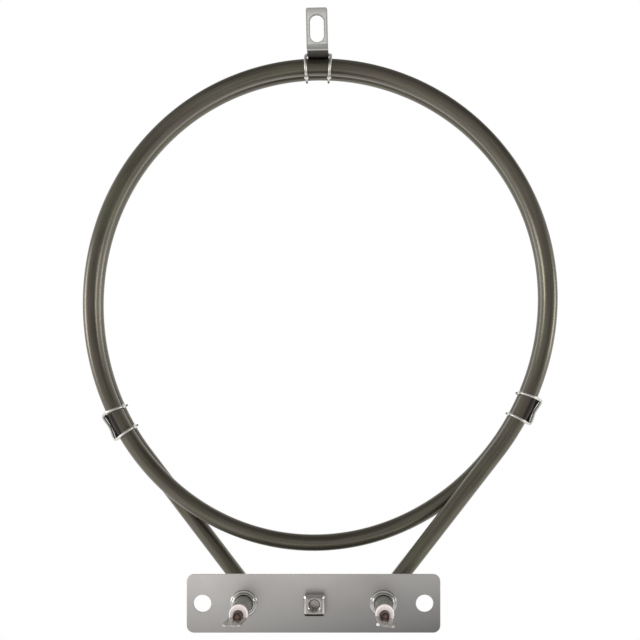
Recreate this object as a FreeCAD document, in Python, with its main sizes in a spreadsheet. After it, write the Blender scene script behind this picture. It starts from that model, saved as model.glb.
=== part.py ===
import FreeCAD, Part

# Round fan-oven heating element: one metal tube wound to almost two turns, with two straight
# legs that turn through a mounting plate, a slotted tab at the top and three wire clips.
# Frame: origin at the middle of the plate's wall-side face, X to the right, Z up,
# Y into the oven. The terminals point along -Y, the coil lies at +Y. All sizes in mm.

import math
import os
import Sketcher

V = FreeCAD.Vector
DOC = FreeCAD.newDocument("heating_element")
SHEET = DOC.addObject("Spreadsheet::Sheet", "sizes")
NODES = []

# Driving sizes

SIZES = {
    "tube_radius": 3.2,
    "tube_wall": 0.5,
    "coil_mean_radius": 90.2,
    "coil_oval": 1.9,
    "coil_oval_direction": 80.5,
    "coil_pear": 0.5,
    "coil_pear_direction": 19.2,
    "turn_pitch": 6.9,
    "coil_offset": 1.5,
    "coil_centre_height": 112.9,
    "terminal_spacing": 52.2,
    "leg_bend_radius": 8.0,
    "leg_standoff": 0.3,
    "stub_length": 18.0,
    "fit_clearance": 0.05,
    "plate_length": 95.0,
    "plate_height": 21.9,
    "plate_thickness": 1.0,
    "plate_corner_radius": 2.7,
    "screw_spacing": 83.2,
    "screw_hole_radius": 3.25,
    "ferrule_flange_radius": 5.1,
    "ferrule_flange_height": 0.6,
    "ferrule_ring_radius": 4.15,
    "ferrule_ring_height": 1.4,
    "ferrule_spigot_radius": 4.0,
    "ferrule_lip_radius": 4.5,
    "ferrule_lip_height": 0.5,
    "ferrule_chamfer": 0.4,
    "nut_width": 8.0,
    "nut_height": 4.6,
    "nut_corner_radius": 1.1,
    "nut_bevel": 0.8,
    "nut_bore_radius": 2.07,
    "nut_countersink": 0.45,
    "nut_shank_radius": 3.3,
    "nut_offset": 0.4,
    "pin_radius": 1.5,
    "pin_reach": 4.0,
    "pin_flat_height": 0.7,
    "pin_flat_gap": 0.3,
    "blade_back_gap": 0.6,
    "right_terminal_twist": 7.9,
    "left_blade_turn": 5.0,
    "bead_radius": 3.35,
    "bead_flange_height": 2.0,
    "bead_spigot_length": 3.0,
    "bead_bevel": 0.4,
    "seal_length": 4.0,
    "blade_width": 6.3,
    "blade_thickness": 0.8,
    "blade_length": 12.7,
    "blade_tip_chamfer": 1.0,
    "blade_hole_radius": 0.8,
    "blade_hole_from_tip": 4.0,
    "tab_width": 8.0,
    "tab_rise": 18.6,
    "tab_thickness": 1.0,
    "tab_corner_radius": 0.8,
    "tab_lean": 1.2,
    "tab_slot_width": 5.2,
    "tab_slot_length": 10.3,
    "tab_slot_from_top": 2.7,
    "tab_bend_radius": 1.0,
    "lip_drop": 3.0,
    "seat_gap": 0.1,
    "strip_width": 7.4,
    "strip_thickness": 0.8,
    "strip_bend_radius": 0.6,
    "wire_radius": 0.55,
    "wire_clearance": 0.1,
    "clip_leg_spacing": 9.3,
    "clip_waist_depth": 1.0,
    "clip_waist_dip": 0.6,
    "clip_leg_lean": 0.25,
    "clip_groove_rise": 1.2,
    "strip_front_reach": 1.0,
    "left_clip_angle": 210.6,
    "right_clip_angle": 333.4,
    "top_clip_angle": 90.0,
}

# Shape choices that are not lengths

SEARCH_STEPS = 60
SPAN_OF_ARC_PAIR = 45.0
HUG_STEP = 36.0
FRONT_HUG_CORNERS = (0, 1, 2, 3, 4, 5)
REAR_HUG_CORNERS = (4, 5, 6)
WIRE_SIDES = 8
FULL_TURN = 360.0
BOTTOM_ANGLE = 270.0
FIRST_LEAVING_TRAVEL = 270.0
LAST_LEAVING_TRAVEL = 359.0
SNAP = 0.001
PARALLEL = 1e-6
FIRST_SKETCH_SIZE = 10.0
WALL_AXIS = V(0, 1, 0)
OUTWARD = V(0, -1, 0)


def fill_sheet():
    """Write each driving size as plain text, with its name as the cell's alias."""
    for row, (name, value) in enumerate(SIZES.items(), start=1):
        SHEET.set(f"A{row}", name)
        SHEET.set(f"B{row}", str(value))
        SHEET.setAlias(f"B{row}", name)
    DOC.recompute()


def size(name):
    """The sheet's value of one driving size."""
    return float(SHEET.get(name))


def bind(target, prop, expression):
    """Tie a property to an expression in which the sizes are named plainly."""
    words = []
    word = ""
    for mark in expression + " ":
        if mark.isalnum() or mark == "_":
            word += mark
            continue
        words.append(f"sizes.{word}" if word in SIZES else word)
        words.append(mark)
        word = ""
    target.setExpression(prop, "".join(words).strip())


def keep(node, label):
    """Register one finished sub-part under its own name."""
    node.Label = label
    NODES.append(node)
    return node


# Sketches and bodies

def new_body(name):
    return DOC.addObject("PartDesign::Body", name)


def sketch_on(body, role, name):
    """A sketch on one of the body's own origin planes."""
    sketch = body.newObject("Sketcher::SketchObject", name)
    plane = next(item for item in body.Origin.OriginFeatures if item.Role == role)
    sketch.AttachmentSupport = [(plane, "")]
    sketch.MapMode = "FlatFace"
    return sketch


def place_point(sketch, geometry, corner, across, up):
    """Hold one point at two signed distances from the sketch's origin."""
    for kind, axis, distance in (("DistanceX", -2, across), ("DistanceY", -1, up)):
        if distance == "0":
            sketch.addConstraint(Sketcher.Constraint("PointOnObject", geometry, corner, axis))
            continue
        index = sketch.addConstraint(Sketcher.Constraint(kind, -1, 1, geometry, corner, 1.0))
        bind(sketch, f"Constraints[{index}]", distance)


def add_outline(sketch, points):
    """A closed outline of straight lines whose corners follow the sheet."""
    count = len(points)
    start = sketch.GeometryCount
    turns = [2 * math.pi * k / count for k in range(count)]
    spread = [V(math.cos(turn), math.sin(turn), 0) * FIRST_SKETCH_SIZE for turn in turns]
    for k in range(count):
        sketch.addGeometry(Part.LineSegment(spread[k], spread[(k + 1) % count]), False)
    for k in range(count):
        follower = start + (k + 1) % count
        sketch.addConstraint(Sketcher.Constraint("Coincident", start + k, 2, follower, 1))
    for k, (across, up) in enumerate(points):
        place_point(sketch, start + k, 1, across, up)


def add_circle(sketch, across, up, radius):
    """A full circle whose centre and radius follow the sheet."""
    index = sketch.addGeometry(Part.Circle(V(0, 0, 0), V(0, 0, 1), 1.0), False)
    place_point(sketch, index, 3, across, up)
    rim = sketch.addConstraint(Sketcher.Constraint("Radius", index, 1.0))
    bind(sketch, f"Constraints[{rim}]", radius)


def add_slot(sketch, top, length, radius):
    """An upright slot with round ends, centred on the sketch's upright axis."""
    rise = V(0, FIRST_SKETCH_SIZE, 0)
    over = V(1, 0, 0)
    top_circle = Part.Circle(rise, V(0, 0, 1), 1.0)
    low_circle = Part.Circle(V(0, 0, 0), V(0, 0, 1), 1.0)
    top_end = sketch.addGeometry(Part.ArcOfCircle(top_circle, 0, math.pi), False)
    low_end = sketch.addGeometry(Part.ArcOfCircle(low_circle, math.pi, 2 * math.pi), False)
    right = sketch.addGeometry(Part.LineSegment(over, over + rise), False)
    left = sketch.addGeometry(Part.LineSegment(rise - over, over * -1), False)
    for first, first_end, second, second_end in ((right, 2, top_end, 1), (top_end, 2, left, 1),
                                                 (left, 2, low_end, 1), (low_end, 2, right, 1)):
        sketch.addConstraint(Sketcher.Constraint("Tangent", first, first_end, second, second_end))
    sketch.addConstraint(Sketcher.Constraint("PointOnObject", low_end, 3, -2))
    sketch.addConstraint(Sketcher.Constraint("Vertical", right))
    place_point(sketch, top_end, 3, "0", top)
    rim = sketch.addConstraint(Sketcher.Constraint("Radius", top_end, 1.0))
    bind(sketch, f"Constraints[{rim}]", radius)
    gap = sketch.addConstraint(Sketcher.Constraint("DistanceY", low_end, 3, top_end, 3, 1.0))
    bind(sketch, f"Constraints[{gap}]", length)


def box_points(half_width, low, high):
    return [(f"-({half_width})", low), (half_width, low), (half_width, high), (f"-({half_width})", high)]


def pad(body, sketch, name, length, reverse=False, both_ways=False):
    feature = body.newObject("PartDesign::Pad", name)
    feature.Profile = sketch
    feature.Reversed = reverse
    feature.SideType = "Symmetric" if both_ways else "One side"
    bind(feature, "Length", length)
    DOC.recompute()
    return feature


def cut_through(body, sketch, name, both_ways=False):
    """Cut a sketch right through the body and make sure that it removed something."""
    before = body.Shape.Volume
    feature = body.newObject("PartDesign::Pocket", name)
    feature.Profile = sketch
    feature.SideType = "Symmetric" if both_ways else "One side"
    feature.Type = "ThroughAll"
    DOC.recompute()
    if not 0 < body.Shape.Volume < before:
        raise RuntimeError(f"{name} doesn't cut the body")
    return feature


def round_edges(body, name, radius, chosen, kind="Fillet"):
    """Fillet or chamfer the edges of the body's tip that a test picks."""
    tip = body.Tip
    edges = [f"Edge{k}" for k, edge in enumerate(tip.Shape.Edges, start=1) if chosen(edge)]
    if not edges:
        raise RuntimeError(f"{name} finds no edges")
    feature = body.newObject(f"PartDesign::{kind}", name)
    feature.Base = (tip, edges)
    bind(feature, "Radius" if kind == "Fillet" else "Size", radius)
    DOC.recompute()
    return feature


def is_parallel(edge, direction):
    """True for a straight edge along the given direction."""
    if edge.Curve.TypeId != "Part::GeomLine":
        return False
    return edge.tangentAt(edge.FirstParameter).cross(direction).Length < PARALLEL


def lies_at(edge, depth):
    """True for an edge that lies wholly at one depth."""
    middle = (edge.FirstParameter + edge.LastParameter) / 2
    places = (edge.FirstParameter, middle, edge.LastParameter)
    return all(abs(edge.valueAt(at).y - depth) < SNAP for at in places)


def is_rim(edge, depth, radius):
    """True for a round edge of the given radius at one depth."""
    if edge.Curve.TypeId != "Part::GeomCircle":
        return False
    return lies_at(edge, depth) and abs(edge.Curve.Radius - radius) < SNAP


def is_bend_line(edge, corner):
    """True for the straight edge across a strip at one corner of its side view."""
    return is_parallel(edge, V(1, 0, 0)) and edge.BoundBox.Center.sub(corner).Length < SNAP


def turned_body(name, label, points):
    """A body turned about its own Y axis from (radius, depth) corners."""
    body = new_body(name)
    sketch = sketch_on(body, "XY_Plane", f"{name}_profile")
    add_outline(sketch, points)
    feature = body.newObject("PartDesign::Revolution", f"{name}_turned")
    feature.Profile = sketch
    feature.ReferenceAxis = (sketch, ["V_Axis"])
    feature.Angle = FULL_TURN
    DOC.recompute()
    return keep(body, label)


# The coil's line

def coil_radius(angle):
    """Distance of the tube's middle from the coil's centre at an angle in degrees, and its slope."""
    oval = math.radians(2 * (angle - size("coil_oval_direction")))
    pear = math.radians(3 * (angle - size("coil_pear_direction")))
    radius = size("coil_mean_radius")
    radius += size("coil_oval") * math.cos(oval) + size("coil_pear") * math.cos(pear)
    slope = -2 * size("coil_oval") * math.sin(oval) - 3 * size("coil_pear") * math.sin(pear)
    return radius, slope


def coil_point(travel, depth):
    """Point and direction on the coil, by the angle travelled from the middle of the bottom arc.

    Travel grows towards the rear turn. The depth is that of the bottom arc's middle.
    """
    angle = BOTTOM_ANGLE + travel
    turn = math.radians(angle)
    radius, slope = coil_radius(angle)
    out = V(math.cos(turn), 0, math.sin(turn))
    along = V(-math.sin(turn), 0, math.cos(turn))
    rise = V(0, size("turn_pitch"), 0)
    point = V(size("coil_offset"), depth, size("coil_centre_height")) + out * radius
    point += rise * (travel / FULL_TURN)
    direction = out * slope + along * radius + rise * (1 / (2 * math.pi))
    direction.normalize()
    return point, direction


def leaving_travel(side):
    """Travel at which the coil's tangent meets the terminal on one side: 1 is left, -1 right."""
    terminal = -side * size("terminal_spacing") / 2

    def miss(travel):
        point, direction = coil_point(side * travel, 0)
        return (terminal - point.x) * direction.z + point.z * direction.x

    low = FIRST_LEAVING_TRAVEL
    high = LAST_LEAVING_TRAVEL
    low_miss = miss(low)
    for _ in range(SEARCH_STEPS):
        middle = (low + high) / 2
        if miss(middle) * low_miss > 0:
            low = middle
        else:
            high = middle
    return side * (low + high) / 2


def leg_corner(travel, side, depth):
    """Where the leg's straight line meets the terminal's axis, and the leg's direction."""
    point, direction = coil_point(travel, depth)
    direction = direction * side
    terminal = -side * size("terminal_spacing") / 2
    return point + direction * ((terminal - point.x) / direction.x), direction


def bend_setback(direction):
    """Length that the bend towards the terminal takes from each of its two straights."""
    return size("leg_bend_radius") * math.tan(direction.getAngle(OUTWARD) / 2)


def coil_depth():
    """Depth of the bottom arc at which the front leg's bend just clears the plate."""
    corner, direction = leg_corner(leaving_travel(-1), -1, 0)
    seat = size("plate_thickness") + size("leg_standoff")
    return seat + bend_setback(direction) - corner.y


def arc_towards(start, direction, end):
    """The arc that leaves start along direction and ends at end."""
    chord = end - start
    normal = direction.cross(chord)
    side = normal.cross(direction)
    side.normalize()
    radius = chord.Length / 2 / math.sin(direction.getAngle(chord))
    centre = start + side * radius
    middle = (start + end) * 0.5 - centre
    middle.normalize()
    return Part.Arc(start, centre + middle * radius, end).toShape()


def arc_pair(first, last):
    """Two tangent arcs that join two points with their directions."""
    (start, leaving), (end, arriving) = first, last
    span = end - start
    both = leaving + arriving
    square = 2 * (1 - leaving.dot(arriving))
    linear = 2 * span.dot(both)
    reach = (math.sqrt(linear ** 2 + 4 * square * span.dot(span)) - linear) / (2 * square)
    joint = (start + leaving * reach + end - arriving * reach) * 0.5
    return [arc_towards(start, leaving, joint), arc_towards(end, arriving * -1, joint)]


def coil_line(depth):
    """The wound part of the tube's middle line, as a chain of tangent arcs."""
    first = leaving_travel(-1)
    last = leaving_travel(1)
    spans = round((last - first) / SPAN_OF_ARC_PAIR)
    stations = [coil_point(first + (last - first) * k / spans, depth) for k in range(spans + 1)]
    edges = []
    for here, there in zip(stations, stations[1:]):
        edges += arc_pair(here, there)
    return Part.Wire(edges)


def leg_line(side, depth):
    """One leg's middle line: from the coil, straight down, round the bend and out to its mouth."""
    travel = leaving_travel(side)
    start = coil_point(travel, depth)[0]
    corner, direction = leg_corner(travel, side, depth)
    setback = bend_setback(direction)
    bend_start = corner - direction * setback
    bend_end = corner + OUTWARD * setback
    mouth = V(corner.x, -size("stub_length"), 0)
    straight = Part.LineSegment(start, bend_start).toShape()
    stub = Part.LineSegment(bend_end, mouth).toShape()
    return Part.Wire([straight, arc_towards(bend_start, direction, bend_end), stub])


def swept_tube(line, start, direction, light):
    """A round bar along a line. A light one takes a spline as its circle, which halves the facets."""
    circle = Part.Circle(start, direction, size("tube_radius"))
    rim = circle.toBSpline().toShape() if light else circle.toShape()
    return line.makePipe(Part.Face(Part.Wire([rim])))


# The heated tube

def make_sheath_tube():
    """The tube with its legs, closed along its heated length and bored where its mouths are open."""
    depth = coil_depth()
    point, direction = coil_point(leaving_travel(-1), depth)
    bar = swept_tube(coil_line(depth), point, direction, True)
    for side in (1, -1):
        travel = leaving_travel(side)
        point, direction = coil_point(travel, depth)
        bar = bar.fuse(swept_tube(leg_line(side, depth), point, direction, False))
    rod = DOC.addObject("Part::Feature", "sheath_rod")
    rod.Shape = bar
    bores = []
    for side in (-1, 1):
        bore = DOC.addObject("Part::Cylinder", "mouth_bore")
        bind(bore, "Radius", "tube_radius - tube_wall")
        bind(bore, "Height", "stub_length")
        bore.Placement = FreeCAD.Placement(V(0, 0, 0), FreeCAD.Rotation(V(1, 0, 0), 90))
        bind(bore, "Placement.Base.x", f"{side} * terminal_spacing / 2")
        bores.append(bore)
    mouths = DOC.addObject("Part::MultiFuse", "mouth_bores")
    mouths.Shapes = bores
    tube = DOC.addObject("Part::Cut", "sheath_tube")
    tube.Base = rod
    tube.Tool = mouths
    DOC.recompute()
    return keep(tube, "sheath_tube")


# Terminals, one set on each side

def seat_at_terminal(body, side):
    """Put a terminal piece on its leg's axis, with the right leg's slight twist."""
    twist = size("right_terminal_twist") if side > 0 else 0
    body.Placement = FreeCAD.Placement(V(0, 0, 0), FreeCAD.Rotation(V(0, 1, 0), twist))
    bind(body, "Placement.Base.x", f"{side} * terminal_spacing / 2")


BORE = "(tube_radius - tube_wall)"
BEAD_FRONT = "-(stub_length + bead_flange_height)"
BEAD_INNER_END = "(bead_spigot_length - stub_length)"
SEAL_INNER_END = "(bead_spigot_length + seal_length - stub_length)"


def make_cold_pin(name, side):
    """The stud that carries the current, with a pressed flat for the blade."""
    end = f"({BEAD_FRONT} - pin_reach)"
    body = turned_body(f"{name}_cold_pin", f"{name}_cold_pin", [
        ("0", "0"), ("pin_radius", "0"), ("pin_radius", end), ("0", end)])
    sketch = sketch_on(body, "YZ_Plane", f"{name}_pin_flat")
    flat_start = f"({BEAD_FRONT} - pin_flat_gap)"
    add_outline(sketch, [(flat_start, "-pin_flat_height"), (f"({end} - pin_radius)", "-pin_flat_height"),
                         (f"({end} - pin_radius)", "-2 * pin_radius"), (flat_start, "-2 * pin_radius")])
    cut_through(body, sketch, f"{name}_pin_flat_cut", both_ways=True)
    seat_at_terminal(body, side)


def make_filling(name, side):
    """The pressed powder round the pin, as far as the mouth's bore goes."""
    body = turned_body(f"{name}_filling", f"{name}_magnesia_filling", [
        ("pin_radius", "0"), (BORE, "0"), (BORE, SEAL_INNER_END), ("pin_radius", SEAL_INNER_END)])
    seat_at_terminal(body, side)


def make_seal(name, side):
    """The seal that closes the powder under the bead."""
    body = turned_body(f"{name}_end_seal", f"{name}_end_seal", [
        ("pin_radius", SEAL_INNER_END), (BORE, SEAL_INNER_END),
        (BORE, BEAD_INNER_END), ("pin_radius", BEAD_INNER_END)])
    seat_at_terminal(body, side)


def make_bead(name, side):
    """The ceramic bead: a rounded flange on the tube's mouth and a spigot inside it."""
    body = turned_body(f"{name}_bead", f"{name}_ceramic_bead", [
        ("pin_radius + fit_clearance", BEAD_INNER_END), (f"{BORE} - fit_clearance", BEAD_INNER_END),
        (f"{BORE} - fit_clearance", "-stub_length"), ("bead_radius", "-stub_length"),
        ("bead_radius", BEAD_FRONT), ("pin_radius + fit_clearance", BEAD_FRONT)])
    rim = size("bead_radius")
    front = -size("stub_length") - size("bead_flange_height")
    round_edges(body, f"{name}_bead_bevel", "bead_bevel", lambda edge: is_rim(edge, front, rim), "Chamfer")
    seat_at_terminal(body, side)


def make_blade(name, side):
    """The push-on blade, welded under the pin's flat; the left one sits a little askew."""
    body = new_body(f"{name}_terminal_blade")
    back = f"({BEAD_FRONT} - blade_back_gap)"
    tip = f"({BEAD_FRONT} - blade_back_gap - blade_length)"
    half = "blade_width / 2"
    inset = "(blade_width / 2 - blade_tip_chamfer)"
    shoulder = f"({tip} + blade_tip_chamfer)"
    sketch = sketch_on(body, "XY_Plane", f"{name}_blade_outline")
    add_outline(sketch, [(f"-{half}", back), (half, back), (half, shoulder), (inset, tip),
                         (f"-{inset}", tip), (f"-{half}", shoulder)])
    add_circle(sketch, "0", f"({tip} + blade_hole_from_tip)", "blade_hole_radius")
    pad(body, sketch, f"{name}_blade_pad", "blade_thickness", reverse=True)
    keep(body, f"{name}_terminal_blade")
    if side > 0:
        seat_at_terminal(body, side)
        twist = math.radians(size("right_terminal_twist"))
        bind(body, "Placement.Base.x", f"terminal_spacing / 2 - pin_flat_height * {math.sin(twist)}")
        bind(body, "Placement.Base.z", f"-pin_flat_height * {math.cos(twist)}")
    else:
        turn = math.radians(size("left_blade_turn"))
        body.Placement = FreeCAD.Placement(V(0, 0, 0), FreeCAD.Rotation(V(0, 0, -1), size("left_blade_turn")))
        bind(body, "Placement.Base.x", f"-terminal_spacing / 2 - {back} * {math.sin(turn)}")
        bind(body, "Placement.Base.y", f"{back} * {1 - math.cos(turn)}")
        bind(body, "Placement.Base.z", "-pin_flat_height")


def make_ferrule(name, side):
    """The collar that holds a leg in the plate: a flange, a raised ring and a lip swaged on the oven side."""
    bore = "(tube_radius + fit_clearance)"
    lip_end = "(plate_thickness + ferrule_lip_height)"
    body = turned_body(f"{name}_ferrule", f"{name}_ferrule", [
        (bore, lip_end), ("ferrule_lip_radius", lip_end), ("ferrule_lip_radius", "plate_thickness"),
        ("ferrule_spigot_radius", "plate_thickness"), ("ferrule_spigot_radius", "0"),
        ("ferrule_flange_radius", "0"), ("ferrule_flange_radius", "-ferrule_flange_height"),
        ("ferrule_ring_radius", "-ferrule_flange_height"),
        ("ferrule_ring_radius", "ferrule_chamfer - ferrule_ring_height"),
        ("ferrule_ring_radius - ferrule_chamfer", "-ferrule_ring_height"),
        (bore, "-ferrule_ring_height")])
    bind(body, "Placement.Base.x", f"{side} * terminal_spacing / 2")


# The plate and its nut

def make_mounting_plate():
    """The plate with its two screw holes and the seats of both ferrules and the nut."""
    body = new_body("mounting_plate")
    outline = sketch_on(body, "XZ_Plane", "plate_outline")
    add_outline(outline, box_points("plate_length / 2", "-plate_height / 2", "plate_height / 2"))
    pad(body, outline, "plate_pad", "plate_thickness", reverse=True)
    round_edges(body, "plate_corners", "plate_corner_radius", lambda edge: is_parallel(edge, WALL_AXIS))
    holes = sketch_on(body, "XZ_Plane", "plate_holes")
    add_circle(holes, "nut_offset", "0", "nut_shank_radius + fit_clearance")
    for side in ("", "-"):
        add_circle(holes, f"{side}screw_spacing / 2", "0", "screw_hole_radius")
        add_circle(holes, f"{side}terminal_spacing / 2", "0", "ferrule_spigot_radius + fit_clearance")
    cut_through(body, holes, "plate_holes_cut")
    return keep(body, "mounting_plate")


def make_earth_nut():
    """The square nut with a blind threaded bore, its shank riveted flush in the plate."""
    body = new_body("earth_nut")
    square = sketch_on(body, "XZ_Plane", "nut_square")
    add_outline(square, box_points("nut_width / 2", "-nut_width / 2", "nut_width / 2"))
    add_circle(square, "0", "0", "nut_bore_radius")
    pad(body, square, "nut_pad", "nut_height")
    shank = sketch_on(body, "XZ_Plane", "nut_shank")
    add_circle(shank, "0", "0", "nut_shank_radius")
    pad(body, shank, "nut_shank_pad", "plate_thickness", reverse=True)
    half = size("nut_width") / 2
    round_edges(body, "nut_corners", "nut_corner_radius",
                lambda edge: is_parallel(edge, WALL_AXIS) and edge.BoundBox.Center.Length > half)
    front = -size("nut_height")
    bore = size("nut_bore_radius")
    round_edges(body, "nut_mouth", "nut_countersink", lambda edge: is_rim(edge, front, bore), "Chamfer")
    mouth = bore + size("nut_countersink")
    round_edges(body, "nut_front_bevel", "nut_bevel",
                lambda edge: lies_at(edge, front) and not is_rim(edge, front, mouth), "Chamfer")
    bind(body, "Placement.Base.x", "nut_offset")
    return keep(body, "earth_nut")


# Bracket, strips and wire clips. Each is drawn in a frame on the coil's front turn:
# X along the tube, Y into the oven, Z away from the coil's centre.

def coil_frame(angle):
    """Placement of the frame on the front turn's middle line at an angle."""
    travel = (angle - BOTTOM_ANGLE) % FULL_TURN - FULL_TURN
    point, direction = coil_point(travel, coil_depth())
    flat = V(direction.x, 0, direction.z)
    flat.normalize()
    tilt = math.degrees(math.atan2(flat.z, -flat.x))
    return FreeCAD.Placement(point, FreeCAD.Rotation(V(0, 1, 0), tilt))


SEAT = "(tube_radius + seat_gap)"
REAR_BACK = "(turn_pitch + tube_radius + seat_gap)"


def bent_strip(body, name, front, inner_bend, thickness, width, front_rise=None):
    """A strip that lies on both turns, with a lip behind the rear one and, if asked, a tab up front."""
    outside = f"({SEAT} + {thickness})"
    back = f"({REAR_BACK} + {thickness})"
    low = "(tube_radius - lip_drop)"
    points = [(REAR_BACK, low), (back, low), (back, outside)]
    if front_rise:
        inner_front = f"({front} + {thickness})"
        points += [(inner_front, outside), (inner_front, front_rise), (front, front_rise), (front, SEAT)]
    else:
        points += [(front, outside), (front, SEAT)]
    points.append((REAR_BACK, SEAT))
    sketch = sketch_on(body, "YZ_Plane", f"{name}_side_view")
    add_outline(sketch, points)
    pad(body, sketch, f"{name}_pad", width, both_ways=True)
    seat = size("tube_radius") + size("seat_gap")
    deep = size("turn_pitch") + seat
    thick = size(thickness)
    rear_inner = V(0, deep, seat)
    rear_outer = V(0, deep + thick, seat + thick)
    round_edges(body, f"{name}_rear_inner_bend", inner_bend, lambda edge: is_bend_line(edge, rear_inner))
    round_edges(body, f"{name}_rear_outer_bend", f"{inner_bend} + {thickness}",
                lambda edge: is_bend_line(edge, rear_outer))


def make_clip_strip(name):
    """The strip under a side clip's waist."""
    body = new_body(f"{name}_clip_strip")
    bent_strip(body, f"{name}_strip", "(-strip_front_reach)", "strip_bend_radius",
               "strip_thickness", "strip_width")
    body.Placement = coil_frame(size(f"{name}_clip_angle"))
    return keep(body, f"{name}_clip_strip")


def make_top_bracket():
    """The slotted tab against the wall, bent over into the leaf that lies on the coil's top."""
    body = new_body("top_bracket")
    frame = coil_frame(size("top_clip_angle"))
    wall = -frame.Base.y
    rise = size("tab_rise")
    bent_strip(body, "bracket", f"({wall})", "strip_bend_radius", "tab_thickness", "tab_width", "tab_rise")
    seat = size("tube_radius") + size("seat_gap")
    thick = size("tab_thickness")
    inner = V(0, wall + thick, seat + thick)
    outer = V(0, wall, seat)
    round_edges(body, "bracket_front_inner_bend", "tab_bend_radius", lambda edge: is_bend_line(edge, inner))
    round_edges(body, "bracket_front_outer_bend", "tab_bend_radius + tab_thickness",
                lambda edge: is_bend_line(edge, outer))
    round_edges(body, "tab_corners", "tab_corner_radius",
                lambda edge: is_parallel(edge, WALL_AXIS) and edge.BoundBox.Center.z > rise - SNAP)
    slot = sketch_on(body, "XZ_Plane", "tab_slot")
    add_slot(slot, "(tab_rise - tab_slot_from_top - tab_slot_width / 2)",
             "(tab_slot_length - tab_slot_width)", "tab_slot_width / 2")
    cut_through(body, slot, "tab_slot_cut", both_ways=True)
    body.Placement = FreeCAD.Placement(frame.Base, FreeCAD.Rotation(V(0, -1, 0), size("tab_lean")))
    return keep(body, "top_bracket")


def hug_corner(number, hug):
    """Depth and height of one corner of the wire's path round a turn, from the outside to the inside."""
    step = math.radians(HUG_STEP)
    turn = (number + 0.5) * step
    reach = hug / math.cos(step / 2)
    return -reach * math.sin(turn), reach * math.cos(turn)


def clip_leg(side, waist_height):
    """Corners of one leg: waist, round the front turn, into the groove and hooked round the rear turn."""
    half = size("clip_leg_spacing") / 2
    hug = size("tube_radius") + size("wire_radius") + size("wire_clearance")
    sag = half ** 2 / (2 * size("coil_mean_radius"))
    rear = size("turn_pitch")
    path = [(size("clip_waist_depth"), waist_height + sag)]
    for number in FRONT_HUG_CORNERS:
        path.append(hug_corner(number, hug))
    path.append((rear / 2, size("clip_groove_rise") - hug))
    for number in REAR_HUG_CORNERS:
        depth, height = hug_corner(number, hug)
        path.append((rear + depth, height))
    lean = size("clip_leg_lean") / (len(path) - 1)
    return [V(side * (half - lean * k), depth, height - sag) for k, (depth, height) in enumerate(path)]


def many_sided_wire(points):
    """A solid of many-sided section along straight runs with mitred corners."""
    runs = [there - here for here, there in zip(points, points[1:])]
    for run in runs:
        run.normalize()
    side = runs[0].cross(V(0, 0, 1))
    side.normalize()
    other = runs[0].cross(side)
    turns = [2 * math.pi * k / WIRE_SIDES for k in range(WIRE_SIDES)]
    spokes = [side * math.cos(turn) + other * math.sin(turn) for turn in turns]
    rings = [[points[0] + spoke * size("wire_radius") for spoke in spokes]]
    for k in range(1, len(points)):
        before = runs[k - 1]
        after = runs[min(k, len(runs) - 1)]
        mitre = before + after
        slope = before.dot(mitre)
        rings.append([corner + before * ((points[k] - corner).dot(mitre) / slope) for corner in rings[-1]])
    faces = [Part.Face(Part.makePolygon(ring + ring[:1])) for ring in (rings[0], rings[-1])]
    for here, there in zip(rings, rings[1:]):
        for k in range(WIRE_SIDES):
            nxt = (k + 1) % WIRE_SIDES
            corners = [here[k], here[nxt], there[nxt], there[k], here[k]]
            faces.append(Part.Face(Part.makePolygon(corners)))
    solid = Part.Solid(Part.Shell(faces))
    if solid.Volume < 0:
        solid.reverse()
    return solid


def make_wire_clip(name, carrier_thickness, dip, lift=0):
    """One bent wire: a waist over its carrier and two legs that hook round both turns."""
    waist = size("tube_radius") + size("seat_gap") + size(carrier_thickness)
    waist += size("wire_radius") + size("fit_clearance") + dip + lift
    left = clip_leg(-1, waist)
    right = clip_leg(1, waist)
    middle = [V(0, size("clip_waist_depth"), waist - dip)] if dip else []
    wire = DOC.addObject("Part::Feature", f"{name}_wire_clip")
    wire.Shape = many_sided_wire(left[::-1] + middle + right)
    wire.Placement = coil_frame(size(f"{name}_clip_angle"))
    return keep(wire, f"{name}_wire_clip")


# Build, check and write

def check_everything():
    """Stop on a failed object or a sub-part without a sound solid."""
    for item in DOC.Objects:
        if "Invalid" in item.State or "Error" in item.State:
            raise RuntimeError(f"{item.Name} failed: {item.State}")
    for node in NODES:
        if node.Shape.isNull() or not node.Shape.isValid():
            raise RuntimeError(f"{node.Label} has no valid shape")


def write_parts():
    os.makedirs("parts", exist_ok=True)
    for node in NODES:
        node.Shape.exportStep(os.path.join("parts", f"{node.Label}.step"))
        print(f"{node.Label}: {len(node.Shape.Solids)} solid, {node.Shape.Volume:.1f} mm3")


def main():
    fill_sheet()
    make_sheath_tube()
    make_mounting_plate()
    make_earth_nut()
    for name, side in (("left", -1), ("right", 1)):
        make_ferrule(name, side)
        make_cold_pin(name, side)
        make_filling(name, side)
        make_seal(name, side)
        make_bead(name, side)
        make_blade(name, side)
    make_top_bracket()
    lean_lift = size("tab_width") / 2 * math.sin(math.radians(size("tab_lean")))
    make_wire_clip("top", "tab_thickness", 0, lean_lift)
    for name in ("left", "right"):
        make_clip_strip(name)
        make_wire_clip(name, "strip_thickness", size("clip_waist_dip"))
    DOC.recompute()
    check_everything()
    write_parts()


main()
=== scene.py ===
"""Looks of a round fan-oven heating element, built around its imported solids."""

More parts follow.
